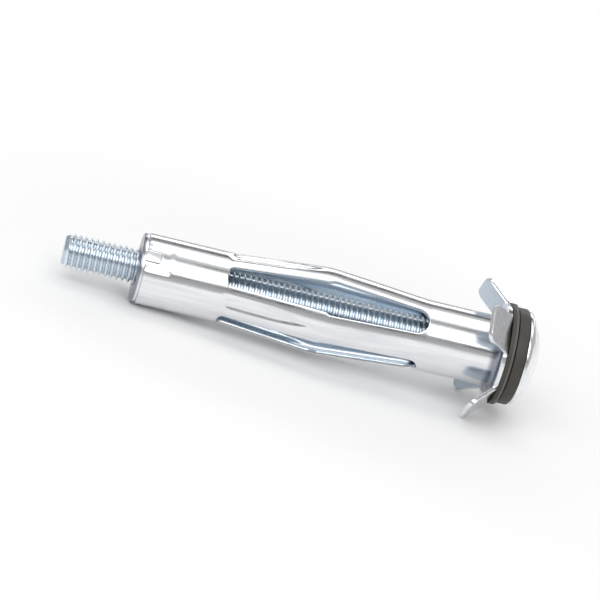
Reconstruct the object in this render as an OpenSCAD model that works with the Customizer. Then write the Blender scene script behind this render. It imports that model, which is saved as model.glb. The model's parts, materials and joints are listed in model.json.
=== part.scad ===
// Hollow wall anchor: slotted sheet sleeve with a pressed-in nut, a spacer ring and an M5 screw.
// Each part is drawn upright, with its axis on +Z and the head at the top, then laid down to rest.

/* [Sleeve tube] */
// Outside diameter of the rolled tube
tube_d = 10; // [9:0.1:11]
// Thickness of the sheet
sheet_t = 0.6; // [0.4:0.05:0.8]
// Length from the flange's outer face to the tube's far end
sleeve_len = 51.2; // [48:0.1:60]
// Plain length between the flange's outer face and the slots
plain_len = 11.2; // [8:0.1:12]
// Length of the slots
slot_len = 28.6; // [24:0.1:30]
// Number of legs, and of slots between them
leg_count = 4; // [3:1:6]
// Turn of the first slot from straight down
slot_turn = 48; // [0:1:90]
// Width of a slot at its flange end
slot_w_front = 3.4; // [2.4:0.1:3.8]
// Width of a slot at its nut end
slot_w_back = 2.8; // [2.2:0.1:3.6]
// How far the legs stand out at their fold
leg_bow = 1.3; // [0.4:0.05:1.8]
// Length of the sloped step in the slot's edge at the fold
step_len = 0.7; // [0.3:0.1:1.2]
// Corner radius at the nut's end of a slot
slot_corner_r = 0.9; // [0.5:0.1:1]
// Radius of the round tool that pressed the crease along each leg
crease_r = 4.4; // [3:0.1:6]
// Depth of the crease
crease_depth = 0.24; // [0.1:0.02:0.3]
// Plain length left at each end of the crease
crease_margin = 1.2; // [0.8:0.1:3]

/* [Flange and tabs] */
// Diameter of the flange
flange_d = 14; // [13:0.1:15]
// Inner radius of the bell mouth where the tube turns out into the flange
mouth_r = 0.7; // [0.4:0.05:0.9]
// Number of tabs bent back from the flange
tab_count = 4; // [2:1:4]
// Width of a tab
tab_w = 5.8; // [4.6:0.1:6.4]
// Straight length of a tab, from its bend to its tip
tab_len = 4.4; // [3:0.1:5]
// Outward lean of a tab from the tube's direction
tab_lean = 45; // [10:1:55]
// Inner radius of a tab's bend
tab_bend_r = 0.3; // [0.2:0.05:0.5]
// Corner radius at a tab's tip
tab_corner_r = 1.2; // [0.5:0.1:2]

/* [Nut] */
// Length of the nut's body inside the tube
nut_len = 5.2; // [4:0.1:8]
// Thickness of the nut's rim on the tube's end
rim_t = 0.8; // [0.5:0.05:1.5]
// Diameter of the nut's rim
rim_d = 9.6; // [9:0.1:9.7]
// Chamfer on the rim's outer edge and on the bore's mouths
nut_chamfer = 0.25; // [0.1:0.05:0.35]
// Number of lugs that keep the nut from turning
lug_count = 2; // [1:1:3]
// Turn of the first lug from straight down
lug_turn = 48; // [30:1:80]
// Width of a lug
lug_w = 1.5; // [1:0.1:2]
// Length of a lug beyond the rim
lug_len = 2.0; // [1:0.1:3]
// Clearance around a lug in its notch
lug_clear = 0.08; // [0.05:0.01:0.2]

/* [Spacer ring] */
// Diameter of the ring's thick band, on the head's side
ring_d = 13.7; // [13:0.1:15]
// Diameter of the ring's thin lip, on the flange's side
lip_d = 14.4; // [13:0.1:15]
// Diameter at the bottom of the groove between them
groove_d = 12.9; // [11:0.1:12.9]
// Thickness of the thick band
band_t = 1.55; // [1.2:0.05:2]
// Width of the groove
groove_w = 0.2; // [0.1:0.05:0.4]
// Thickness of the lip
lip_t = 0.85; // [0.6:0.05:1.2]
// Chamfer on the ring's outer edges
ring_chamfer = 0.12; // [0.05:0.01:0.25]

/* [Screw] */
// Outside diameter of the screw's thread
screw_d = 5; // [4.5:0.1:5.5]
// Length under the head
screw_len = 65; // [60:1:75]
// Pitch of the thread
thread_pitch = 0.8; // [0.5:0.05:1.2]
// Depth of the thread
thread_depth = 0.44; // [0.2:0.02:0.6]
// Plain length between the thread and the head
neck_len = 1; // [0.5:0.1:4]
// Length of the cone at the screw's tip
tip_len = 0.7; // [0.4:0.1:1.5]
// Diameter of the flat at the screw's tip
tip_d = 3.8; // [3:0.1:4.2]
// Diameter of the head
head_d = 13.3; // [11:0.1:14]
// Full height of the head
head_h = 2.8; // [2:0.1:3.5]
// Height of the straight edge under the head's dome
head_edge = 0.5; // [0.3:0.05:0.9]
// Width of the long slot in the head
drive_slot_w = 1.2; // [0.8:0.1:1.5]
// Depth of the long slot in the head
drive_slot_depth = 1.3; // [0.8:0.1:1.6]
// Width of the arms of the cross in the head
cross_w = 1.3; // [1:0.1:1.6]
// Span of the arms of the cross
cross_span = 5.6; // [4:0.1:6.5]
// Depth of the cross
cross_depth = 2.0; // [1.5:0.1:2.2]
// Turn of the long slot
drive_turn = 25; // [0:1:90]

/* [Clearances] */
// Radial clearance of the screw in the nut and in the ring
running_clear = 0.06; // [0.02:0.01:0.1]
// Gap between the flange, the ring and the head when tightened
seat_gap = 0.04; // [0.02:0.01:0.1]

/* [Hidden] */
$fn = 64;
overlap = 0.05;
corner_step = 15;
shank_sides = 32;
reach = 3 * tube_d;

tube_r = tube_d / 2;
bore_r = tube_r - sheet_t;
flange_r = flange_d / 2;
fold_z = -plain_len - slot_len / 2;
slot_end_z = -plain_len - slot_len;
fold_r = tube_r + leg_bow;
bow_angle = atan(leg_bow / (slot_len / 2));
fold_spread = 2 * PI * leg_bow / leg_count;
front_fold_w = slot_w_front + fold_spread;
back_fold_w = slot_w_back + fold_spread;
slot_start_r = screw_d / 2 + running_clear;
crease_len = slot_len / 2 - 2 * crease_margin;

tab_turn = 45;
bend_outer_r = tab_bend_r + sheet_t;
bend_z = -bend_outer_r;
bend_line_r = sqrt(pow(flange_r, 2) - pow(tab_w / 2, 2)) - overlap;

rim_r = rim_d / 2;
nut_end_z = -sleeve_len - rim_t;
nut_bore_r = screw_d / 2 + running_clear;
lug_top_r = tube_r - lug_clear;

ring_t = lip_t + groove_w + band_t;
head_z = ring_t + 2 * seat_gap;
tip_z = head_z - screw_len;
screw_r = screw_d / 2;
thread_turns = floor((screw_len - neck_len) / thread_pitch) - 1;
dome_h = head_h - head_edge;
dome_r = (pow(head_d / 2, 2) + pow(dome_h, 2)) / (2 * dome_h);
dome_z = head_z + head_h - dome_r;

// Reach of a tab's corner toward the floor when the axis is pitched up at the head by angle p
function tab_down(p) = cos(p) * cos(tab_turn);
function tab_along(p) = tab_down(p) * sin(tab_lean) + sin(p) * cos(tab_lean);
function tab_normal(p) = tab_down(p) * cos(tab_lean) - sin(p) * sin(tab_lean);
function tab_side(p) = cos(p) * sin(tab_turn);
function tab_corner_reach(p) = (tab_len - tab_corner_r) * tab_along(p)
    + (tab_w / 2 - tab_corner_r) * tab_side(p)
    + tab_corner_r * norm([tab_along(p), tab_side(p)]);
function tab_reach(p) = bend_line_r * tab_down(p) - bend_z * sin(p)
    + bend_outer_r * tab_normal(p) + tab_corner_reach(p);
function end_reach(p) = tube_r * cos(p) + sleeve_len * sin(p);
function rest_pitch(p, steps) = steps == 0 ? p
    : rest_pitch(p + asin((tab_reach(p) - end_reach(p)) / sleeve_len), steps - 1);

// Height and radius of the thread's section at a step, two to each pitch, even ones at a root
function thread_z(step) = tip_z + step * thread_pitch / 2;
function thread_r(step) = min(
    screw_r - (step % 2 == 0 ? thread_depth : 0),
    tip_d / 2 + (screw_r - tip_d / 2) * (thread_z(step) - tip_z) / tip_len
);

pitch = rest_pitch(0, 12);
rest_h = end_reach(pitch);
head_x = dome_z * cos(pitch) + dome_r;
tip_x = tip_z * cos(pitch) - tip_d / 2 * sin(pitch);

// Points around a corner at the slot's nut end, on the side given, from a start angle
function slot_corner(side, start) = [
    for (a = [start : corner_step : start + 90])
        [
            slot_end_z + slot_corner_r * (1 + cos(a)),
            side * (slot_w_back / 2 - slot_corner_r) + slot_corner_r * sin(a),
        ]
];

module lay_down() {
    translate([-(head_x + tip_x) / 2, 0, rest_h])
        rotate([0, 90 - pitch, 0])
            children();
}

module ring_of(count, turn) {
    for (i = [0 : count - 1])
        rotate([0, 0, turn + i * 360 / count])
            children();
}

// Rolled sheet with straight ends, legs that stand out to the fold, and the flange
module sheet_profile() {
    difference() {
        polygon([
            [bore_r, 0],
            [flange_r, 0],
            [flange_r, -sheet_t],
            [tube_r + mouth_r, -sheet_t],
            [tube_r, -sheet_t - mouth_r],
            [tube_r, -plain_len],
            [fold_r, fold_z],
            [tube_r, slot_end_z],
            [tube_r, -sleeve_len],
            [bore_r, -sleeve_len],
            [bore_r, slot_end_z],
            [fold_r - sheet_t, fold_z],
            [bore_r, -plain_len],
        ]);
        translate([tube_r + mouth_r, -sheet_t - mouth_r])
            circle(r = mouth_r);
        mouth_corner();
    }
}

// Corner that the bell mouth takes off at the flange's outer face
module mouth_corner() {
    difference() {
        translate([bore_r - overlap, -sheet_t - mouth_r])
            square([sheet_t + mouth_r + overlap, sheet_t + mouth_r + overlap]);
        translate([tube_r + mouth_r, -sheet_t - mouth_r])
            circle(r = sheet_t + mouth_r);
    }
}

// Slot drawn with its length on X: wide to the fold, then narrower to its nut end
module slot_outline() {
    translate([-plain_len - slot_w_front / 2, 0])
        circle(d = slot_w_front);
    polygon(concat(
        [
            [-plain_len - slot_w_front / 2, -slot_w_front / 2],
            [-plain_len - slot_w_front / 2, slot_w_front / 2],
            [fold_z + step_len / 2, front_fold_w / 2],
            [fold_z - step_len / 2, back_fold_w / 2],
        ],
        slot_corner(1, 90),
        slot_corner(-1, 180),
        [
            [fold_z - step_len / 2, -back_fold_w / 2],
            [fold_z + step_len / 2, -front_fold_w / 2],
        ]
    ));
}

module slots() {
    ring_of(leg_count, slot_turn)
        translate([slot_start_r, 0, 0])
            rotate([0, -90, 180])
                linear_extrude(height = reach)
                    slot_outline();
}

// Long shallow creases in the nut's side of the legs
module creases() {
    ring_of(leg_count, slot_turn + 180 / leg_count)
        translate([(fold_r + tube_r) / 2 + crease_r - crease_depth, 0, (fold_z + slot_end_z) / 2])
            rotate([0, bow_angle, 0])
                cylinder(r = crease_r, h = crease_len, center = true);
}

// Section of a tab's bend, with a root that reaches into the flange's edge
module bend_profile() {
    translate([-overlap, tab_bend_r + overlap])
        square([2 * overlap, sheet_t - 2 * overlap]);
    intersection() {
        difference() {
            circle(r = bend_outer_r);
            circle(r = tab_bend_r);
        }
        polygon([
            [0, 0],
            [0, 2 * bend_outer_r],
            [2 * bend_outer_r, 2 * bend_outer_r],
            [2 * bend_outer_r * cos(tab_lean), 2 * bend_outer_r * sin(tab_lean)],
        ]);
    }
}

module tab_outline() {
    translate([0, -tab_w / 2])
        square([tab_len - tab_corner_r, tab_w]);
    translate([0, tab_corner_r - tab_w / 2])
        square([tab_len, tab_w - 2 * tab_corner_r]);
    for (side = [-1, 1])
        translate([tab_len - tab_corner_r, side * (tab_w / 2 - tab_corner_r)])
            circle(r = tab_corner_r);
}

module tabs() {
    ring_of(tab_count, tab_turn)
        translate([bend_line_r, 0, bend_z]) {
            rotate([90, 0, 0])
                linear_extrude(height = tab_w, center = true)
                    bend_profile();
            rotate([0, 90 - tab_lean, 0])
                translate([0, 0, tab_bend_r])
                    linear_extrude(height = sheet_t)
                        tab_outline();
        }
}

// Flats where the flange's edge turns down into the tabs
module tab_flats() {
    ring_of(tab_count, tab_turn)
        translate([bend_line_r, -reach / 2, -plain_len])
            cube([reach, reach, plain_len + overlap]);
}

module notches() {
    ring_of(lug_count, lug_turn)
        translate([bore_r - sheet_t, -lug_w / 2 - lug_clear, -sleeve_len - overlap])
            cube([3 * sheet_t, lug_w + 2 * lug_clear, lug_len + lug_clear + overlap]);
}

module sleeve() {
    color([0.80, 0.82, 0.85])
        lay_down() {
            difference() {
                rotate_extrude()
                    sheet_profile();
                slots();
                creases();
                notches();
                tab_flats();
            }
            tabs();
        }
}

module nut_body() {
    rotate_extrude()
        polygon([
            [nut_bore_r + nut_chamfer, nut_end_z],
            [rim_r - nut_chamfer, nut_end_z],
            [rim_r, nut_end_z + nut_chamfer],
            [rim_r, -sleeve_len],
            [bore_r, -sleeve_len],
            [bore_r, -sleeve_len + nut_len],
            [nut_bore_r + nut_chamfer, -sleeve_len + nut_len],
            [nut_bore_r, -sleeve_len + nut_len - nut_chamfer],
            [nut_bore_r, nut_end_z + nut_chamfer],
        ]);
}

module lugs() {
    intersection() {
        ring_of(lug_count, lug_turn)
            translate([bore_r - sheet_t, -lug_w / 2, -sleeve_len - overlap])
                cube([reach, lug_w, lug_len + overlap]);
        translate([0, 0, nut_end_z + nut_chamfer])
            cylinder(r = lug_top_r, h = nut_len);
    }
}

module nut() {
    color([0.72, 0.74, 0.78])
        lay_down() {
            nut_body();
            lugs();
        }
}

module spacer_ring() {
    color([0.08, 0.08, 0.09])
        lay_down()
            translate([0, 0, seat_gap])
                rotate_extrude()
                    polygon([
                        [nut_bore_r, 0],
                        [lip_d / 2 - ring_chamfer, 0],
                        [lip_d / 2, ring_chamfer],
                        [lip_d / 2, lip_t],
                        [groove_d / 2, lip_t],
                        [groove_d / 2, lip_t + groove_w],
                        [ring_d / 2, lip_t + groove_w],
                        [ring_d / 2, ring_t - ring_chamfer],
                        [ring_d / 2 - ring_chamfer, ring_t],
                        [nut_bore_r, ring_t],
                    ]);
}

// The thread as rings at its pitch, with a root and a crest in each, cut back by the cone at the tip
module shank() {
    rotate_extrude($fn = shank_sides)
        polygon(concat(
            [[0, tip_z]],
            [for (step = [0 : 2 * thread_turns + 1]) [thread_r(step), thread_z(step)]],
            [
                [screw_r, head_z + head_edge],
                [0, head_z + head_edge],
            ]
        ));
}

module head() {
    intersection() {
        translate([0, 0, head_z])
            cylinder(d = head_d, h = head_h);
        translate([0, 0, dome_z])
            sphere(r = dome_r);
    }
}

module drive() {
    translate([0, 0, head_z + head_h])
        rotate([0, 0, drive_turn]) {
            cube([reach, drive_slot_w, 2 * drive_slot_depth], center = true);
            cube([cross_span, cross_w, 2 * cross_depth], center = true);
            cube([cross_w, cross_span, 2 * cross_depth], center = true);
        }
}

module screw() {
    color([0.80, 0.82, 0.86])
        lay_down()
            difference() {
                union() {
                    shank();
                    head();
                }
                drive();
            }
}

sleeve();
nut();
spacer_ring();
screw();
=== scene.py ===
import json
import math
import bmesh
import bpy
from mathutils import Matrix, Vector


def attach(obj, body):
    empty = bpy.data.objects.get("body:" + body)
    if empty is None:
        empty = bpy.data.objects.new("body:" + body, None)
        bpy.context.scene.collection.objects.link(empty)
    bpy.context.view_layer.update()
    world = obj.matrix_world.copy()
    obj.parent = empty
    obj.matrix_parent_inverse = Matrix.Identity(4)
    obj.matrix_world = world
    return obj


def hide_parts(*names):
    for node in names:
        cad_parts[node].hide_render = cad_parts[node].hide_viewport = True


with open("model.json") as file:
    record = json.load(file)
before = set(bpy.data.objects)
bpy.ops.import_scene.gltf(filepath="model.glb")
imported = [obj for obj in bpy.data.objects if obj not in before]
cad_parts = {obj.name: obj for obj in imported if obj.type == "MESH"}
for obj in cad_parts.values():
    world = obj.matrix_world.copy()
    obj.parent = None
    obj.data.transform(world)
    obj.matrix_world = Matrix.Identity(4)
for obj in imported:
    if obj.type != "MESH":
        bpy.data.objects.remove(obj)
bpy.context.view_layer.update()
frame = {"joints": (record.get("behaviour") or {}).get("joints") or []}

# The anchor's own frame: z runs along the screw to its head and x points to the floor.
# Pieces are made there in millimetres, then laid down into the shared frame in metres.
turnJoint = next(j for j in frame["joints"] if j["name"] == "screw_turn")
flangePlace = Vector(turnJoint["pos_m"])
axisWay = Vector(turnJoint["axis"]).normalized()
downWay = Vector((axisWay.z, 0, -axisWay.x))
axisRise = math.atan2(axisWay.z, axisWay.x)
millimetre = 0.001
turnToAxis = Matrix((downWay, (0, 1, 0), axisWay)).transposed().to_4x4()
layDown = Matrix.Translation(flangePlace) @ turnToAxis @ Matrix.Scale(millimetre, 4)

roundSteps = 96      # faces round a turned piece
hair = 0.001         # in mm, what is nearer to a line than this lies on it
mergeGap = 0.0005    # in mm, vertices nearer to each other than this are merged


def newPiece(name):
    obj = bpy.context.active_object
    obj.name = name
    obj.data.name = name
    return obj


def nothingSelected():
    if bpy.context.mode != "OBJECT":
        bpy.ops.object.mode_set(mode="OBJECT")
    bpy.ops.object.select_all(action="DESELECT")


def onlyThese(obj, *others):
    # these objects alone are selected, and the first is the active one
    nothingSelected()
    for each in (obj, *others):
        each.select_set(True)
    bpy.context.view_layer.objects.active = obj


def workOn(obj):
    onlyThese(obj)
    bpy.ops.object.mode_set(mode="EDIT")


def applyPlace(obj):
    onlyThese(obj)
    bpy.ops.object.transform_apply(location=True, rotation=True, scale=True)


def pick(obj, kind, test):
    # selects the vertices, edges or faces that pass the test, and nothing else
    bpy.ops.mesh.select_all(action="DESELECT")
    bpy.ops.mesh.select_mode(type=kind)
    mesh = bmesh.from_edit_mesh(obj.data)
    for each in {"VERT": mesh.verts, "EDGE": mesh.edges, "FACE": mesh.faces}[kind]:
        each.select_set(bool(test(each)))
    mesh.select_flush_mode()
    bmesh.update_edit_mesh(obj.data)


def edgeRun(edge):
    return edge.verts[1].co - edge.verts[0].co


def moveEach(obj, rule):
    # puts every vertex where the rule says
    mesh = bmesh.from_edit_mesh(obj.data)
    for v in mesh.verts:
        v.co = rule(v.co.copy())
    bmesh.update_edit_mesh(obj.data)


def finishWith(obj, kind, **settings):
    onlyThese(obj)
    modifier = obj.modifiers.new(kind.lower(), kind)
    for key, value in settings.items():
        setattr(modifier, key, value)
    bpy.ops.object.modifier_apply(modifier=modifier.name)


def softenEdges(obj, width, sharperThan):
    limit = math.radians(sharperThan)
    finishWith(obj, "BEVEL", width=width, segments=2, limit_method="ANGLE", angle_limit=limit)


def cleanMesh(gap=mergeGap):
    # merges what lies within the gap and turns the faces outwards
    bpy.ops.mesh.select_all(action="SELECT")
    bpy.ops.mesh.remove_doubles(threshold=gap)
    bpy.ops.mesh.dissolve_degenerate(threshold=0.00001)
    bpy.ops.mesh.select_all(action="SELECT")
    bpy.ops.mesh.normals_make_consistent(inside=False)


def drawOutline(name, points):
    # a chain of points (radius, height), drawn by extruding one vertex along
    nothingSelected()
    bpy.ops.mesh.primitive_plane_add(size=1, location=(0, 0, 0))
    obj = newPiece(name)
    workOn(obj)
    bpy.ops.mesh.select_mode(type="VERT")
    bpy.ops.mesh.select_all(action="SELECT")
    bpy.ops.mesh.merge(type="CENTER")
    here = Vector((points[0][0], 0, points[0][1]))
    bpy.ops.transform.translate(value=here)
    for r, z in points[1:]:
        there = Vector((r, 0, z))
        bpy.ops.mesh.extrude_region_move(TRANSFORM_OT_translate={"value": there - here})
        here = there
    return obj


def turned(name, points):
    # a piece turned from its outline
    obj = drawOutline(name, points)
    bpy.ops.mesh.select_all(action="SELECT")
    bpy.ops.mesh.spin(steps=roundSteps, angle=2 * math.pi, center=(0, 0, 0), axis=(0, 0, 1))
    cleanMesh()
    nothingSelected()
    return obj


def arc(centre, radius, start, end, count):
    # points on an arc between two angles in degrees
    angles = [math.radians(start + (end - start) * i / count) for i in range(count + 1)]
    return [(centre[0] + radius * math.cos(a), centre[1] + radius * math.sin(a)) for a in angles]


def rise(value, start, length):
    # 0 up to the start, then straight up to 1 over the length
    return min(1, max(0, (value - start) / length))


def eased(share):
    return share * share * (3 - 2 * share)


def settle(obj, body, slotName, smoothAngle, *nodes):
    # into the shared frame in metres, object at the origin, riding on its body
    onlyThese(obj)
    obj.data.transform(layDown)
    obj.matrix_world = Matrix.Identity(4)
    bpy.ops.object.shade_smooth_by_angle(angle=math.radians(smoothAngle))
    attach(obj, body)
    if nodes:
        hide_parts(*nodes)
    print("made", obj.name, len(obj.data.polygons), "faces")


# Sleeve: a flat blank with four slots, rolled up and flanged, with its legs folded and its tabs bent back.
sleeveShape = {
    "midRadius": 4.7,        # of the sheet's middle, in mm as all the rest
    "sheet": 0.6,
    "length": 51.2,
    "plainLength": 11.2,     # from the flange's outer face to the slots
    "slotLength": 28.6,
    "legCount": 4,
    "slotTurn": 48.0,        # degrees from straight down
    "frontHalf": 1.63,       # half width of a slot on each side of the fold, in the flat
    "backHalf": 1.33,
    "stepLength": 0.7,
    "backEnd": 0.95,         # depth of the slot's squarer end
    "backSquare": 0.62,      # 1 would make that end round, and less makes it squarer
    "legBow": 1.3,
    "foldRound": 0.05,       # of half a slot's length
    "rootSink": 0.09,        # how far a leg's root lies below the collar, beside the slot's nut end
    "sinkStart": 0.1,
    "sinkRise": 0.25,
    "creaseDepth": 0.3,
    "creaseHalf": 1.1,
    "creaseWall": 0.5,
    "creaseStart": 0.15,     # from the slot's nut end
    "creaseRise": 0.4,
    "creaseStop": 0.8,       # short of the fold
    "creaseTaper": 6.0,      # length over which it runs out
    "mouthRadius": 1.0,      # to the sheet's middle
    "flangeRadius": 7.0,
    "flangeFlat": 1.3,       # width in the flat blank, from the mouth to the flange's edge
    "bendLine": 6.321,
    "bendRadius": 0.6,
    "tabLean": 45.0,         # degrees outward from the tube's direction
    "tabHalf": 2.85,
    "tabLength": 4.4,
    "tabCorner": 1.2,
    "tabTurn": 45.0,
    "tabStep": 90.0,         # degrees from one tab to the next
    "tabSpan": 24.0,         # degrees of the flange on each side of a tab's middle
    "notchTurn": 48.0,
    "notchStep": 180.0,
    "notchDepth": 2.08,
    "notchHalf": 9.0,        # degrees
    "stakeLength": 3.7,      # shallow square mark pressed round each notch
    "stakeHalf": 2.1,
    "stakeDepth": 0.1,
    "stakeWall": 0.35,
    "edgeSoft": 0.07,
    "cellMargin": 1.0,       # plain sheet above and below a slot, in the cell that is drawn round it
    "columns": 30,           # faces across a cell
    "sideParts": 50,         # and along a slot's side
    "bridgeCuts": 11,        # lines between a slot and its cell's border
}


def sleeveLevels(s):
    # along the tube from the flange's outer face, less toward the nut; past the mouth's start
    # they run on along the flat blank
    slotTop = -s["plainLength"]
    slotEnd = slotTop - s["slotLength"]
    mouth = -s["sheet"] / 2 - s["mouthRadius"]
    flange = mouth + math.pi / 2 * s["mouthRadius"]
    rim = flange + s["flangeFlat"]
    bent = rim + s["bendRadius"] * math.radians(90 - s["tabLean"])
    return {
        "slotTop": slotTop,
        "slotEnd": slotEnd,
        "fold": (slotTop + slotEnd) / 2,
        "cellTop": slotTop + s["cellMargin"],
        "cellEnd": slotEnd - s["cellMargin"],
        "mouth": mouth,
        "flange": flange,
        "rim": rim,
        "bent": bent,
        "tabTip": bent + s["tabLength"],
        "notch": -s["length"] + s["notchDepth"],
        "end": -s["length"],
    }


def turnAt(x, s):
    # degrees round the tube from straight down
    return math.degrees(x / s["midRadius"]) + s["slotTurn"]


def fromNearest(angle, first, step):
    # degrees from the nearest of the places that follow the first at equal steps
    return (angle - first + step / 2) % step - step / 2


def drawSlotEdge(s, at):
    # a ring whose two halves are drawn apart, then shaped to the slot
    apart = 10
    nothingSelected()
    bpy.ops.mesh.primitive_circle_add(vertices=2 * s["columns"] + 2, radius=1.0, location=(0, 0, 0))
    edge = newPiece("slot_edge")
    workOn(edge)
    pick(edge, "VERT", lambda v: v.co.y > 0)
    bpy.ops.transform.translate(value=(0, apart, 0))
    pick(edge, "EDGE", lambda e: abs(edgeRun(e).y) > apart / 2)
    bpy.ops.mesh.subdivide(number_cuts=s["sideParts"] - 1)
    frontStart = at["slotTop"] - s["frontHalf"]
    backStart = at["slotEnd"] + s["backEnd"]

    def shaped(p):
        side = 1 if p.x > 0 else -1
        if p.y > apart - hair:
            return Vector((p.x * s["frontHalf"], at["slotTop"] - s["frontHalf"] * (1 - p.y + apart), 0))
        if p.y < hair:
            turn = math.atan2(-p.y, abs(p.x))
            x = math.cos(turn) ** s["backSquare"] * s["backHalf"]
            y = math.sin(turn) ** s["backSquare"] * s["backEnd"]
            return Vector((side * x, backStart - y, 0))
        y = backStart + (frontStart - backStart) * p.y / apart
        past = eased(rise(at["fold"] - y, -s["stepLength"] / 2, s["stepLength"]))
        return Vector((side * (s["frontHalf"] + (s["backHalf"] - s["frontHalf"]) * past), y, 0))

    moveEach(edge, shaped)
    return edge


def drawCellEdge(s, at, pitch):
    # the border of one slot's share of the blank, out to the middles of the two legs
    middle = (0, (at["cellTop"] + at["cellEnd"]) / 2, 0)
    nothingSelected()
    bpy.ops.mesh.primitive_plane_add(size=1, location=middle)
    edge = newPiece("cell_edge")
    workOn(edge)
    bpy.ops.mesh.select_all(action="SELECT")
    bpy.ops.transform.resize(value=(pitch, at["cellTop"] - at["cellEnd"], 1), center_override=middle)
    bpy.ops.mesh.delete(type="ONLY_FACE")
    pick(edge, "EDGE", lambda e: abs(edgeRun(e).y) < hair)
    bpy.ops.mesh.subdivide(number_cuts=s["columns"] - 1)
    pick(edge, "EDGE", lambda e: abs(edgeRun(e).x) < hair)
    bpy.ops.mesh.subdivide(number_cuts=s["sideParts"] - 1)
    return edge


def addRows(obj, start, end, count, kept):
    # extrudes the edges on the starting level row by row, where an edge's middle is to be kept
    step = (end - start) / count
    for i in range(count):
        level = start + step * i
        pick(obj, "EDGE", lambda e: all(abs(v.co.y - level) < hair for v in e.verts)
             and kept((e.verts[0].co.x + e.verts[1].co.x) / 2))
        bpy.ops.mesh.extrude_region_move(TRANSFORM_OT_translate={"value": (0, step, 0)})


def drawBlank(s, at):
    pitch = 2 * math.pi * s["midRadius"] / s["legCount"]
    slotEdge = drawSlotEdge(s, at)
    cellEdge = drawCellEdge(s, at, pitch)
    applyPlace(slotEdge)
    applyPlace(cellEdge)
    onlyThese(cellEdge, slotEdge)
    bpy.ops.object.join()
    obj = newPiece("sleeve_sheet")
    workOn(obj)
    bpy.ops.mesh.select_all(action="SELECT")
    bpy.ops.mesh.bridge_edge_loops(number_cuts=s["bridgeCuts"], interpolation="LINEAR")

    # the cells side by side, a slot in each
    for i in range(1, s["legCount"]):
        pick(obj, "FACE", lambda f: abs(f.calc_center_median().x - (i - 1) * pitch) < pitch / 2)
        bpy.ops.mesh.duplicate_move(TRANSFORM_OT_translate={"value": (pitch, 0, 0)})
    cleanMesh(0.001)

    def anywhere(x):
        return True

    def onTab(x):
        return abs(fromNearest(turnAt(x, s), s["tabTurn"], s["tabStep"])) < s["tabSpan"]

    def besideNotch(x):
        return abs(fromNearest(turnAt(x, s), s["notchTurn"], s["notchStep"])) > s["notchHalf"]

    # plain sheet above and below, in rows
    for start, end, count, kept in (
        ("cellTop", "mouth", 12, anywhere),
        ("mouth", "flange", 6, anywhere),
        ("flange", "rim", 3, anywhere),
        ("rim", "bent", 5, onTab),
        ("bent", "tabTip", 10, onTab),
        ("cellEnd", "notch", 26, anywhere),
        ("notch", "end", 3, besideNotch),
    ):
        addRows(obj, at[start], at[end], count, kept)
    print("flat blank drawn")
    return obj


def bowAt(u, s, at):
    # how far a leg stands out, largest at the fold
    away = abs(u - at["fold"]) / (s["slotLength"] / 2)
    r = s["foldRound"]
    return s["legBow"] * max(0, math.sqrt(1 + r * r) - math.sqrt(away * away + r * r))


def creaseAt(u, across, s, at):
    # starts steeply beside the slot's nut end and runs out to a point short of the fold
    left = rise(at["fold"] - u, s["creaseStop"], s["creaseTaper"])
    half = s["creaseHalf"] * left ** 0.5
    if abs(across) >= half:
        return 0
    start = rise(u - at["slotEnd"], s["creaseStart"], s["creaseRise"])
    return s["creaseDepth"] * min(1, left * 2) * start * eased(rise(half - abs(across), 0, s["creaseWall"]))


def sinkAt(u, s, at):
    root = rise(u - at["slotEnd"], s["sinkStart"], s["sinkRise"])
    return s["rootSink"] * root * rise(at["fold"] - u, 0, at["fold"] - at["slotEnd"])


def stakeAt(u, angle, s):
    off = abs(fromNearest(math.degrees(angle), s["notchTurn"], s["notchStep"]))
    across = math.radians(off) * s["midRadius"]
    alongWall = rise(s["stakeLength"] - s["length"] - u, 0, s["stakeWall"])
    acrossWall = rise(s["stakeHalf"] - across, 0, s["stakeWall"])
    return s["stakeDepth"] * eased(min(alongWall, acrossWall))


def polar(r, angle, z):
    return Vector((r * math.cos(angle), r * math.sin(angle), z))


def onTube(u, angle, s, at):
    # collar and legs, each leg moved out along its own middle
    step = 2 * math.pi / s["legCount"]
    firstLeg = math.radians(s["slotTurn"]) + step / 2
    leg = firstLeg + round((angle - firstLeg) / step) * step
    crease = creaseAt(u, (angle - leg) * s["midRadius"], s, at)
    r = s["midRadius"] - crease - sinkAt(u, s, at) - stakeAt(u, angle, s)
    return polar(r, angle, u) + polar(bowAt(u, s, at), leg, 0)


def onMouth(u, angle, s, at):
    turn = (u - at["mouth"]) / s["mouthRadius"]
    r = s["midRadius"] + s["mouthRadius"] * (1 - math.cos(turn))
    return polar(r, angle, at["mouth"] + s["mouthRadius"] * math.sin(turn))


def onFlange(u, angle, off, s, at):
    # out to the round edge, or to the straight bend line where there is a tab
    edge = min(s["flangeRadius"], s["bendLine"] / math.cos(off))
    inner = s["midRadius"] + s["mouthRadius"]
    share = (u - at["flange"]) / (at["rim"] - at["flange"])
    return polar(inner + (edge - inner) * share, angle, -s["sheet"] / 2)


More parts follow.
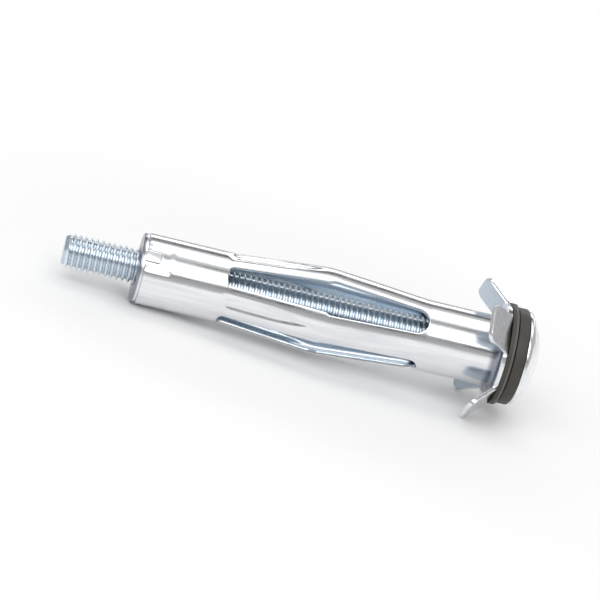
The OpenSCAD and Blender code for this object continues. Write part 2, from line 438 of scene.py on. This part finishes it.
def onTabPlate(u, angle, off, s, at):
    # the bend, then a flat plate with rounded corners
    even = rise(u, at["rim"], at["bent"] - at["rim"])
    plateAcross = s["tabHalf"] * math.sin(math.pi / 2 * off / math.radians(s["tabSpan"]))
    across = (1 - even) * s["bendLine"] * math.tan(off) + even * plateAcross
    turn = even * math.radians(90 - s["tabLean"])
    corner = max(0, abs(across) - (s["tabHalf"] - s["tabCorner"]))
    full = s["tabLength"] - s["tabCorner"] + math.sqrt(max(0, s["tabCorner"] ** 2 - corner ** 2))
    past = max(0, u - at["bent"]) * full / s["tabLength"]
    lean = math.radians(s["tabLean"])
    r = s["bendLine"] + s["bendRadius"] * math.sin(turn) + past * math.sin(lean)
    z = -s["sheet"] / 2 - s["bendRadius"] * (1 - math.cos(turn)) - past * math.cos(lean)
    return polar(r, angle - off, z) + polar(across, angle - off + math.pi / 2, 0)


def makeSleeve(s):
    at = sleeveLevels(s)
    obj = drawBlank(s, at)

    def rolled(p):
        u = p.y
        turn = turnAt(p.x, s)
        angle = math.radians(turn)
        off = math.radians(fromNearest(turn, s["tabTurn"], s["tabStep"]))
        if u < at["cellTop"]:
            return onTube(u, angle, s, at)
        if u <= at["mouth"] + hair:
            return polar(s["midRadius"], angle, u)
        if u <= at["flange"] + hair:
            return onMouth(u, angle, s, at)
        if u <= at["rim"] + hair:
            return onFlange(u, angle, off, s, at)
        return onTabPlate(u, angle, off, s, at)

    moveEach(obj, rolled)
    cleanMesh(0.002)
    finishWith(obj, "SOLIDIFY", thickness=s["sheet"], offset=0, use_even_offset=True)
    softenEdges(obj, s["edgeSoft"], 50)
    return obj


sleeve = makeSleeve(sleeveShape)
settle(sleeve, "anchor", "zinc_sheet", 42, "sleeve")

# Nut: a turned body with a thin rim, and two lugs in the notches.
nutShape = {
    "rim": 4.8,
    "rimThickness": 0.8,
    "rimRound": 0.2,
    "body": 4.38,
    "bodyLength": 5.2,
    "bodyChamfer": 0.2,
    "bore": 2.54,
    "mouth": 2.95,           # radius of the bore's countersunk ends
    "outerSink": 0.4,        # and their depths
    "innerSink": 0.3,
    "soft": 0.12,
    "lugCount": 2,
    "lugWidth": 1.38,
    "lugLength": 1.95,
    "lugRoot": 0.2,          # how deep a lug starts in the rim
    "lugFoot": 3.9,
    "lugTop": 4.93,
    "lugSoft": 0.12,
}


def makeLug(s, face, turn):
    middle = face + (s["lugLength"] - s["lugRoot"]) / 2
    nothingSelected()
    bpy.ops.mesh.primitive_cube_add(size=1, location=((s["lugTop"] + s["lugFoot"]) / 2, 0, middle))
    lug = newPiece("nut_lug")
    workOn(lug)
    bpy.ops.mesh.select_all(action="SELECT")
    size = (s["lugTop"] - s["lugFoot"], s["lugWidth"], s["lugLength"] + s["lugRoot"])
    bpy.ops.transform.resize(value=size)
    pick(lug, "EDGE", lambda e: all(v.co.x > 0 for v in e.verts))
    bpy.ops.mesh.bevel(offset=s["lugSoft"], segments=3, affect="EDGES")
    applyPlace(lug)
    lug.data.transform(Matrix.Rotation(math.radians(turn), 4, "Z"))
    return lug


def makeNut(s):
    face = -sleeveShape["length"]
    end = face - s["rimThickness"]
    top = face + s["bodyLength"]
    sunk = (s["bore"], top - s["innerSink"])
    outline = [sunk, (s["bore"], end + s["outerSink"]), (s["mouth"], end)]
    outline += arc((s["rim"] - s["rimRound"], end + s["rimRound"]), s["rimRound"], -90, 0, 4)
    outline += arc((s["rim"] - s["soft"], face - s["soft"]), s["soft"], 0, 90, 3)
    outline += [(s["body"], face), (s["body"], top - s["bodyChamfer"])]
    outline += [(s["body"] - s["bodyChamfer"], top), (s["mouth"], top), sunk]
    obj = turned("nut_turned", outline)
    turns = [sleeveShape["notchTurn"] + 360 / s["lugCount"] * i for i in range(s["lugCount"])]
    lugs = [makeLug(s, face, turn) for turn in turns]
    onlyThese(obj, *lugs)
    bpy.ops.object.join()
    return obj


nut = makeNut(nutShape)
settle(nut, "anchor", "zinc_nut", 35, "nut")

# Spacer ring: moulded, with a thick band, a groove and a thin lip.
ringShape = {
    "seat": 0.04,
    "bore": 2.56,
    "boreChamfer": 0.1,
    "lip": 7.2,
    "lipThickness": 0.85,
    "groove": 6.45,
    "grooveWidth": 0.2,
    "grooveSoft": 0.08,
    "band": 6.85,
    "bandThickness": 1.55,
    "soft": 0.14,
}


def makeRing(s):
    low = s["seat"]
    mid = low + s["lipThickness"]
    over = mid + s["grooveWidth"]
    top = over + s["bandThickness"]
    soft, tight, chamfer = s["soft"], s["grooveSoft"], s["boreChamfer"]
    outline = [(s["bore"], top - chamfer), (s["bore"], low + chamfer), (s["bore"] + chamfer, low)]
    outline += arc((s["lip"] - soft, low + soft), soft, -90, 0, 4)
    outline += arc((s["lip"] - tight, mid - tight), tight, 0, 90, 3)
    outline += [(s["groove"], mid), (s["groove"], over)]
    outline += arc((s["band"] - tight, over + tight), tight, -90, 0, 3)
    outline += arc((s["band"] - soft, top - soft), soft, 0, 90, 4)
    outline += [(s["bore"] + chamfer, top), (s["bore"], top - chamfer)]
    return turned("spacer_moulded", outline)


ring = makeRing(ringShape)
settle(ring, "ring", "dark_ring", 35, "spacer_ring")

# Screw: a rolled thread, and a domed head with a long slot and a cross.
screwShape = {
    "length": 65.0,
    "pitch": 0.8,
    "crest": 2.48,
    "root": 2.02,
    "crestFlat": 0.025,      # half the flat on a crest
    "crestSoft": 0.03,
    "rootFlat": 0.09,        # and half that in a root
    "rootSoft": 0.02,
    "turnSteps": 36,
    "leadTurns": 1.5,        # thread made past the tip, and cut off there
    "spareLength": 2.5,
    "tipRadius": 1.85,
    "tipCone": 0.75,         # length of the cone at the tip
    "sunkIn": 0.3,           # how far the shank reaches into the head
    "headBase": 2.68,
    "headRadius": 6.65,
    "headHeight": 2.8,
    "headEdge": 0.5,
    "underRing": 3.2,        # a ring of edges on the head's flat underside
    "underSoft": 0.16,
    "shoulderSoft": 0.12,
    "shoulderTurn": 0.6,     # degrees of the dome left out beside the shoulder
    "domeParts": 18,
    "slotWidth": 1.2,
    "slotDepth": 1.3,
    "slotReach": 20.0,       # the slot's cutter runs past the head on both sides
    "slotTaper": 0.86,       # of its width, at its foot
    "crossWidth": 1.3,
    "crossSpan": 5.6,
    "crossDepth": 2.0,
    "crossFootWidth": 0.8,
    "crossFootSpan": 2.2,
    "driveTurn": 25.0,
    "driveSoft": 0.06,
}


def makeThread(s):
    tip = s["headBase"] - s["length"]
    crest, root, middle = s["crest"], s["root"], s["pitch"] / 2
    flank = [
        (root, 0),
        (root + s["rootSoft"], s["rootFlat"]),
        (crest - s["crestSoft"], middle - s["crestFlat"] - s["crestSoft"]),
        (crest, middle - s["crestFlat"]),
    ]
    outline = flank + [(r, s["pitch"] - z) for r, z in reversed(flank)]
    start = tip - s["pitch"] * s["leadTurns"]
    obj = drawOutline("screw_thread", [(r, start + z) for r, z in outline])
    finishWith(
        obj, "SCREW", axis="Z", angle=2 * math.pi, screw_offset=s["pitch"],
        iterations=math.ceil((s["length"] + s["spareLength"]) / s["pitch"]),
        steps=s["turnSteps"], render_steps=s["turnSteps"],
        use_merge_vertices=True, merge_threshold=mergeGap,
    )
    workOn(obj)
    cleanMesh()
    for level, way in ((tip, -1), (s["headBase"] + s["sunkIn"], 1)):
        bpy.ops.mesh.select_all(action="SELECT")
        bpy.ops.mesh.bisect(plane_co=(0, 0, level), plane_no=(0, 0, way), use_fill=True, clear_outer=True)

    def coned(p):
        r = math.hypot(p.x, p.y)
        most = s["tipRadius"] + max(0, p.z - tip) / s["tipCone"] * (crest - s["tipRadius"])
        share = min(1, most / r) if r > 0 else 1
        return Vector((p.x * share, p.y * share, p.z))

    moveEach(obj, coned)
    cleanMesh(0.0003)
    nothingSelected()
    return obj


def domeOf(s):
    # radius of the head's dome
    height = s["headHeight"] - s["headEdge"]
    return (s["headRadius"] ** 2 + height ** 2) / (2 * height)


def makeCutter(s, turn, size, foot):
    # a block that reaches above the head and narrows to its foot
    above = 1
    length, width, depth = size
    top = s["headBase"] + s["headHeight"]
    middle = (0, 0, top + (above - depth) / 2)
    nothingSelected()
    bpy.ops.mesh.primitive_cube_add(size=1, location=middle)
    cutter = newPiece("drive_cutter")
    workOn(cutter)
    bpy.ops.mesh.select_all(action="SELECT")
    bpy.ops.transform.resize(value=(length, width, depth + above), center_override=middle)
    pick(cutter, "FACE", lambda f: f.normal.z < -0.5)
    narrower = (foot[0] / length, foot[1] / width, 1)
    bpy.ops.transform.resize(value=narrower, center_override=(0, 0, top - depth))
    applyPlace(cutter)
    cutter.data.transform(Matrix.Rotation(math.radians(s["driveTurn"] + turn), 4, "Z"))
    return cutter


def makeHead(s):
    base = s["headBase"]
    top = base + s["headHeight"]
    dome = domeOf(s)
    spread = math.degrees(math.asin(s["headRadius"] / dome))
    soft = s["underSoft"]
    outline = [(0, base), (s["underRing"], base)]
    outline += arc((s["headRadius"] - soft, base + soft), soft, -90, 0, 4)
    outline += [(s["headRadius"], base + s["headEdge"] - s["shoulderSoft"])]
    outline += arc((0, top - dome), dome, 90 - spread + s["shoulderTurn"], 90, s["domeParts"])
    outline[-1] = (0, top)
    obj = turned("screw_head", outline)
    slot = (s["slotReach"], s["slotWidth"], s["slotDepth"])
    slotFoot = (s["slotReach"], s["slotWidth"] * s["slotTaper"])
    cross = (s["crossSpan"], s["crossWidth"], s["crossDepth"])
    crossFoot = (s["crossFootSpan"], s["crossFootWidth"])
    for turn, size, foot in ((0, slot, slotFoot), (0, cross, crossFoot), (90, cross, crossFoot)):
        cutter = makeCutter(s, turn, size, foot)
        finishWith(obj, "BOOLEAN", object=cutter, operation="DIFFERENCE", solver="EXACT")
        bpy.data.objects.remove(cutter)
    workOn(obj)
    cleanMesh(0.0008)
    softenEdges(obj, s["driveSoft"], 32)
    return obj


thread = makeThread(screwShape)
settle(thread, "screw", "zinc_screw", 30, "screw")
head = makeHead(screwShape)
settle(head, "screw", "zinc_screw", 35)


# Materials: bright zinc plating on the metal, and a satin moulding.
class Wire:
    # one socket's value, so that shader maths reads as plain sums
    def __init__(self, tree, socket):
        self.tree = tree
        self.socket = socket

    def maths(self, operation, first, second):
        node = self.tree.nodes.new("ShaderNodeMath")
        node.operation = operation
        feed(self.tree, node.inputs[0], first)
        feed(self.tree, node.inputs[1], second)
        return Wire(self.tree, node.outputs[0])

    def __add__(self, other):
        return self.maths("ADD", self, other)

    def __radd__(self, other):
        return self.maths("ADD", other, self)

    def __sub__(self, other):
        return self.maths("SUBTRACT", self, other)

    def __rsub__(self, other):
        return self.maths("SUBTRACT", other, self)

    def __mul__(self, other):
        return self.maths("MULTIPLY", self, other)

    def __rmul__(self, other):
        return self.maths("MULTIPLY", other, self)


def feed(tree, socket, value):
    # a link where the value comes from a node, or the value itself
    if isinstance(value, Wire):
        tree.links.new(value.socket, socket)
    else:
        socket.default_value = value


class Finish:
    # the nodes of one material, or of the world
    def __init__(self, owner, surfaceName="Principled BSDF"):
        owner.use_nodes = True
        self.owner = owner
        self.tree = owner.node_tree
        self.surface = self.tree.nodes[surfaceName]

    def node(self, kind, settings=None, inputs=None, out=0):
        node = self.tree.nodes.new("ShaderNode" + kind)
        for key, value in (settings or {}).items():
            if key == "stops":
                ramp = node.color_ramp
                while len(ramp.elements) < len(value):
                    ramp.elements.new(0.5)
                for element, (where, grey) in zip(ramp.elements, value):
                    element.position = where
                    element.color = (grey, grey, grey, 1)
            else:
                setattr(node, key, value)
        for key, value in (inputs or {}).items():
            feed(self.tree, node.inputs[key], value)
        return Wire(self.tree, node.outputs[out])

    def set(self, **values):
        for key, value in values.items():
            feed(self.tree, self.surface.inputs[key.replace("_", " ")], value)

    def vectors(self, operation, first, second, out=0):
        return self.node("VectorMath", {"operation": operation}, {0: first, 1: second}, out)

    def place(self):
        # object coordinates turned so that X runs along the screw's axis, from the flange's outer face
        sockets = {0: self.node("TexCoord", out="Object"), 1: flangePlace, 2: (0, -axisRise, 0)}
        return self.node("Mapping", {"vector_type": "TEXTURE"}, sockets)

    def stretched(self, place, along, across):
        # for streaks or rings in a noise: scales a metre, along the axis and across it
        return self.vectors("MULTIPLY", place, (along, across, across))

    def along(self, place):
        return self.node("SeparateXYZ", None, {0: place}, out="X")

    def fromAxis(self, place):
        return self.vectors("MULTIPLY", place, (0, 1, 1))

    def radius(self, place):
        return self.node("VectorMath", {"operation": "LENGTH"}, {0: self.fromAxis(place)}, out="Value")

    def outward(self, place):
        # 1 where the surface faces straight away from the screw's axis, and -1 where it faces it
        sockets = {"Vector": self.node("TexCoord", out="Normal"), "Angle": axisRise}
        facing = self.node("VectorRotate", {"rotation_type": "Y_AXIS"}, sockets)
        away = self.node("VectorMath", {"operation": "NORMALIZE"}, {0: self.fromAxis(place)})
        return self.vectors("DOT_PRODUCT", away, facing, out="Value")

    def noise(self, vector, scale, detail, rough):
        sockets = {"Vector": vector, "Scale": scale, "Detail": detail, "Roughness": rough}
        return self.node("TexNoise", {"noise_dimensions": "3D"}, sockets)

    def blend(self, factor, first, second):
        return self.node("Mix", {"data_type": "RGBA"}, {0: factor, 6: first, 7: second}, out=2)

    def span(self, value, low, high, start=0.0, end=1.0):
        # eased from the start to the end while the value goes from low to high
        sockets = {"Value": value, "From Min": low, "From Max": high, "To Min": start, "To Max": end}
        return self.node("MapRange", {"interpolation_type": "SMOOTHSTEP"}, sockets)

    def bump(self, height, strength, distance):
        return self.node("Bump", None, {"Height": height, "Strength": strength, "Distance": distance})


def newFinish(name):
    return Finish(bpy.data.materials.new(name))


zincColours = {
    "bright": (0.90, 0.905, 0.915, 1),
    "plain": (0.80, 0.815, 0.84, 1),
    "shadow": (0.28, 0.34, 0.42, 1),
    "tint": (0.76, 0.79, 0.87, 1),
    # painted shade with a painted bluish interreflection, for the sleeve's inner faces
    "inside": (0.56, 0.64, 0.72, 1),
    # painted shade, for the nut's end face and for the corner under the flange
    "end": (0.20, 0.22, 0.28, 1),
    # painted shade in the head's slot and cross
    "recessShade": (0.10, 0.115, 0.16, 1),
}

# the screw's plating is a little bluer than the sleeve's
threadColours = dict(
    zincColours,
    bright=(0.88, 0.93, 0.97, 1),
    plain=(0.79, 0.86, 0.92, 1),
    shadow=(0.54, 0.62, 0.70, 1),
)

# In the finishes below a noise is given by its scale, detail and roughness, and a stretch by its
# scales a metre along the axis and across it. A cut gives the two values between which a colour
# comes in and, where there are four numbers, how much of it there is at each. Places are in metres.
sheetFinish = {
    "mottle": (260, 4, 0.6),
    "cloud": (90, 2, 0.5),
    "streaks": (1, 4, 0.6),
    "streakStretch": (60, 1500),
    "scratches": (1, 3, 0.7),
    "scratchStretch": (140, 6500),
    "plainCut": (0.35, 0.68),
    "tintCut": (0.55, 0.75, 0.0, 0.5),
    "shadowCut": (0.58, 0.8, 0.0, 0.3),
    "insideShadeCut": (0.12, -0.12),
    "cornerShadeStart": (-0.0022, -0.0013),   # painted shade in the corner where the tabs leave the flange
    "cornerShadeStop": (-0.0003, -0.0007),
    "cornerShadeReach": (0.0064, 0.0060),
    "cornerShadeShare": 0.85,
    "roughness": 0.12,
    "streakRoughness": 0.12,
    "streakCut": (0.3, 0.75),
    "mottleRoughness": 0.04,
    "streakRelief": 0.6,
    "scratchRelief": 0.4,
    "relief": (0.35, 0.00003),           # a bump's strength and distance
}


def zincSheet(c, s):
    f = newFinish("zinc_sheet")
    place = f.place()
    mottle = f.noise(place, *s["mottle"])
    cloud = f.noise(place, *s["cloud"])
    streaks = f.noise(f.stretched(place, *s["streakStretch"]), *s["streaks"])
    scratches = f.noise(f.stretched(place, *s["scratchStretch"]), *s["scratches"])
    colour = f.blend(f.span(streaks, *s["plainCut"]), c["bright"], c["plain"])
    colour = f.blend(f.span(mottle, *s["tintCut"]), colour, c["tint"])
    colour = f.blend(f.span(cloud, *s["shadowCut"]), colour, c["shadow"])
    # painted shade: faces turned toward the axis, inside the sleeve, take the darker bluer inside colour
    colour = f.blend(f.span(f.outward(place), *s["insideShadeCut"]), colour, c["inside"])
    # painted shade in the corner under the flange, where the tabs leave it
    along = f.along(place)
    corner = f.span(along, *s["cornerShadeStart"]) * f.span(along, *s["cornerShadeStop"])
    corner = corner * f.span(f.radius(place), *s["cornerShadeReach"])
    colour = f.blend(s["cornerShadeShare"] * corner, colour, c["end"])
    f.set(Base_Color=colour, Metallic=1.0)
    streaky = s["streakRoughness"] * f.span(streaks, *s["streakCut"])
    f.set(Roughness=s["roughness"] + streaky + s["mottleRoughness"] * mottle)
    height = streaks * s["streakRelief"] + scratches * s["scratchRelief"]
    f.set(Normal=f.bump(height, *s["relief"]))
    return f.owner


turnedFinish = {
    "mottle": (420, 4, 0.6),
    "rings": (1, 3, 0.6),
    "ringStretch": (1600, 200),
    "plainCut": (0.4, 0.7),
    "tintCut": (0.5, 0.8, 0.0, 0.4),
    "endShadeCut": (-0.0515, -0.0517, 0.0, 0.85),      # painted shade on the nut's end face, along the axis
    "rootShadeCut": (0.00202, 0.00240, 0.85, 0.0),     # painted shade in the thread's root, by distance from the axis
    "roughness": 0.2,
    "mottleRoughness": 0.14,
    "relief": (0.25, 0.00003),
}


def zincTurned(name, c, s):
    # plating with fine rings round the axis: the finish, its place and the colour so far
    f = newFinish(name)
    place = f.place()
    mottle = f.noise(place, *s["mottle"])
    rings = f.noise(f.stretched(place, *s["ringStretch"]), *s["rings"])
    colour = f.blend(f.span(mottle, *s["plainCut"]), c["bright"], c["plain"])
    colour = f.blend(f.span(rings, *s["tintCut"]), colour, c["tint"])
    f.set(Metallic=1.0, Roughness=s["roughness"] + s["mottleRoughness"] * mottle)
    f.set(Normal=f.bump(mottle * 0.5 + rings * 0.5, *s["relief"]))
    return f, place, colour


def zincNut(c, s):
    f, place, colour = zincTurned("zinc_nut", c, s)
    # painted shade darkens the nut's end face
    endShade = f.span(f.along(place), *s["endShadeCut"])
    f.set(Base_Color=f.blend(endShade, colour, c["end"]))
    return f.owner


def zincThread(c, s):
    f, place, colour = zincTurned("zinc_thread", c, s)
    # painted shade in the thread's roots
    deep = f.span(f.radius(place), *s["rootShadeCut"])
    f.set(Base_Color=f.blend(deep, colour, c["shadow"]))
    return f.owner


headFinish = {
    "mottle": (420, 4, 0.6),
    "smears": (900, 3, 0.6),
    "plainCut": (0.4, 0.7),
    "tintCut": (0.5, 0.8, 0.0, 0.5),
    "sunkCut": (0.00008, 0.0006),    # depth below the dome
    "levelCut": (0.0006, 0.0007),    # height above the head's underside
    "reachCut": (0.00640, 0.00625),  # from the axis
    "recessShadeShare": 0.92,
    "roughness": 0.16,
    "mottleRoughness": 0.14,
    "relief": (0.2, 0.00003),
}


def zincHead(c, s, h):
    # painted shade: the slot and the cross are darkened below the dome's surface
    f = newFinish("zinc_head")
    place = f.place()
    mottle = f.noise(place, *s["mottle"])
    smears = f.noise(place, *s["smears"])
    colour = f.blend(f.span(mottle, *s["plainCut"]), c["bright"], c["plain"])
    colour = f.blend(f.span(smears, *s["tintCut"]), colour, c["tint"])
    dome = domeOf(h) * millimetre
    base = h["headBase"] * millimetre
    centre = base + h["headHeight"] * millimetre - dome
    reach = f.vectors("DISTANCE", place, (centre, 0, 0), out="Value")
    sunk = f.span(dome - reach, *s["sunkCut"])
    above = f.span(f.along(place), *(base + level for level in s["levelCut"]))
    inner = f.span(f.radius(place), *s["reachCut"])
    colour = f.blend(s["recessShadeShare"] * sunk * above * inner, colour, c["recessShade"])
    f.set(Base_Color=colour, Metallic=1.0, Roughness=s["roughness"] + s["mottleRoughness"] * mottle)
    f.set(Normal=f.bump(mottle * 0.5 + smears * 0.5, *s["relief"]))
    return f.owner


mouldedFinish = {
    "grain": (2600, 3, 0.6),
    "cloud": (240, 3, 0.5),
    "darkest": (0.009, 0.008, 0.0075, 1),
    "dark": (0.018, 0.016, 0.014, 1),
    "darkCut": (0.35, 0.7),
    "edgeHighlight": (0.17, 0.165, 0.16, 1),     # painted highlight: the lip's edge beside the groove is a lighter grey
    "edgeHighlightStart": (0.00052, 0.00062),
    "edgeHighlightStop": (0.00095, 0.00088),
    "edgeHighlightShare": 0.8,
    "worn": (0.10, 0.092, 0.082, 1),      # and the outermost surfaces are a little worn
    "wornCut": (0.00672, 0.00685, 0.0, 0.5),
    "shine": 0.35,
    "roughness": 0.36,
    "grainRoughness": 0.2,
    "relief": (0.3, 0.00002),
}


def satinMoulding(s):
    f = newFinish("dark_ring")
    place = f.place()
    grain = f.noise(place, *s["grain"])
    cloud = f.noise(place, *s["cloud"])
    colour = f.blend(f.span(cloud, *s["darkCut"]), s["darkest"], s["dark"])
    along = f.along(place)
    # a painted highlight along the lip's edge beside the groove
    edgeHighlight = f.span(along, *s["edgeHighlightStart"]) * f.span(along, *s["edgeHighlightStop"])
    colour = f.blend(s["edgeHighlightShare"] * edgeHighlight, colour, s["edgeHighlight"])
    colour = f.blend(f.span(f.radius(place), *s["wornCut"]), colour, s["worn"])
    f.set(Base_Color=colour, Roughness=s["roughness"] + s["grainRoughness"] * grain)
    f.set(Specular_IOR_Level=s["shine"], Normal=f.bump(grain, *s["relief"]))
    return f.owner


def paint(obj, material):
    obj.data.materials.clear()
    obj.data.materials.append(material)


paint(sleeve, zincSheet(zincColours, sheetFinish))
paint(nut, zincNut(zincColours, turnedFinish))
paint(ring, satinMoulding(mouldedFinish))
paint(thread, zincThread(threadColours, turnedFinish))
paint(head, zincHead(zincColours, headFinish, screwShape))
print("materials made")

# Floor, backdrop, lights and camera, in metres.
stageSetup = {
    "floorSize": 3.0,
    "floorColour": (0.95, 0.95, 0.95, 1),
    "floorRoughness": 0.9,
    "floorShine": 0.1,
    "whiteFrom": (0.030, 0.075),     # from the middle of the floor
    "skyStops": ((0.0, 0.30), (0.50, 0.30), (0.55, 0.40), (0.70, 0.50), (1.0, 0.52)),
    "skyStrength": 1.0,
}


def makeFloor(s):
    nothingSelected()
    bpy.ops.mesh.primitive_plane_add(size=s["floorSize"], location=(0, 0, 0))
    floor = newPiece("floor")
    f = newFinish("floor")
    f.set(Base_Color=s["floorColour"], Roughness=s["floorRoughness"], Specular_IOR_Level=s["floorShine"])
    # far from the anchor it turns into the white backdrop, for the camera and for mirrors
    away = f.node("VectorMath", {"operation": "LENGTH"}, {0: f.node("TexCoord", out="Object")}, out="Value")
    seen = f.node("LightPath", out="Is Camera Ray") + f.node("LightPath", out="Is Glossy Ray")
    seen = seen + f.node("LightPath", out="Is Transmission Ray")
    lit = Wire(f.tree, f.surface.outputs[0])
    white = f.node("Emission", None, {"Color": (1, 1, 1, 1), "Strength": 1.0})
    mixed = f.node("MixShader", None, {0: seen * f.span(away, *s["whiteFrom"]), 1: lit, 2: white})
    feed(f.tree, f.tree.nodes["Material Output"].inputs["Surface"], mixed)
    paint(floor, f.owner)


def makeSky(s):
    # greys that grow lighter with height
    world = bpy.data.worlds.new("studio")
    bpy.context.scene.world = world
    f = Finish(world, "Background")
    way = f.node("TexCoord", out="Generated")
    height = f.node("SeparateXYZ", None, {0: way}, out="Z") * 0.5 + 0.5
    grey = f.node("ValToRGB", {"stops": s["skyStops"]}, {0: height})
    f.set(Color=grey, Strength=s["skyStrength"])


lamps = {
    "key_box": {"place": (-0.12, -0.30, 0.34), "size": (0.60, 0.28), "glow": 2.3},
    "top_box": {"place": (0.05, 0.10, 0.55), "size": (0.5, 0.30), "glow": 1.3},
    "rim_strip": {"place": (0.10, 0.42, 0.22), "size": (0.6, 0.08), "glow": 2.4},
}

# cards that are only seen as dark bands mirrored in the metal
flags = {
    "flag_low": {"place": (-0.02, -0.30, 0.11), "size": (0.60, 0.035), "grey": 0.03},
    "flag_high": {"place": (0.0, -0.16, 0.46), "size": (0.60, 0.05), "grey": 0.03},
    "flag_back": {"place": (0.0, 0.36, 0.36), "size": (0.60, 0.10), "grey": 0.05},
}
cardBlue = 1.15                            # how much bluer than grey a card is
lampTarget = Vector((0, 0, 0.008))         # lamps and cards face the anchor's middle


def addLamp(name, s):
    data = bpy.data.lights.new(name, "AREA")
    data.shape = "RECTANGLE"
    data.size, data.size_y = s["size"]
    data.energy = s["glow"] * math.pi * data.size * data.size_y
    lamp = bpy.data.objects.new(name, data)
    bpy.context.scene.collection.objects.link(lamp)
    lamp.location = s["place"]
    lamp.rotation_mode = "QUATERNION"
    lamp.rotation_quaternion = (lampTarget - Vector(s["place"])).to_track_quat("-Z", "Y")


def addFlag(name, s):
    nothingSelected()
    bpy.ops.mesh.primitive_plane_add(size=1, location=(0, 0, 0))
    flag = newPiece(name)
    workOn(flag)
    bpy.ops.mesh.select_all(action="SELECT")
    bpy.ops.transform.resize(value=(*s["size"], 1))
    nothingSelected()
    facing = (lampTarget - Vector(s["place"])).to_track_quat("Z", "Y")
    flag.data.transform(Matrix.Translation(Vector(s["place"])) @ facing.to_matrix().to_4x4())
    flag.visible_camera = False
    flag.visible_diffuse = False
    flag.visible_shadow = False
    f = newFinish(name)
    f.set(Base_Color=(s["grey"], s["grey"], s["grey"] * cardBlue, 1), Roughness=1.0)
    f.set(Specular_IOR_Level=0.0)
    paint(flag, f.owner)


cameraSetup = {
    "azimuth": -9.2,
    "elevation": 19.9,
    "roll": 20.8,
    "distance": 0.42,
    "lens": 182.0,
    "aim": (-0.0005, 0.0, 0.0075),
    "clip": (0.01, 20),
}


def makeCamera(s):
    data = bpy.data.cameras.new("camera")
    data.lens = s["lens"]
    data.clip_start, data.clip_end = s["clip"]
    camera = bpy.data.objects.new("camera", data)
    bpy.context.scene.collection.objects.link(camera)
    a, e = math.radians(s["azimuth"]), math.radians(s["elevation"])
    back = Vector((math.sin(a) * math.cos(e), -math.cos(a) * math.cos(e), math.sin(e)))
    camera.location = Vector(s["aim"]) + back * s["distance"]
    level = (-back).to_track_quat("-Z", "Y")
    roll = Matrix.Rotation(math.radians(s["roll"]), 3, "Z").to_quaternion()
    camera.rotation_mode = "QUATERNION"
    camera.rotation_quaternion = level @ roll
    bpy.context.scene.camera = camera


makeFloor(stageSetup)
makeSky(stageSetup)
for name, lamp in lamps.items():
    addLamp(name, lamp)
for name, flag in flags.items():
    addFlag(name, flag)
makeCamera(cameraSetup)
bpy.context.scene.view_settings.view_transform = "Standard"
print("floor, sky, lamps and camera made")
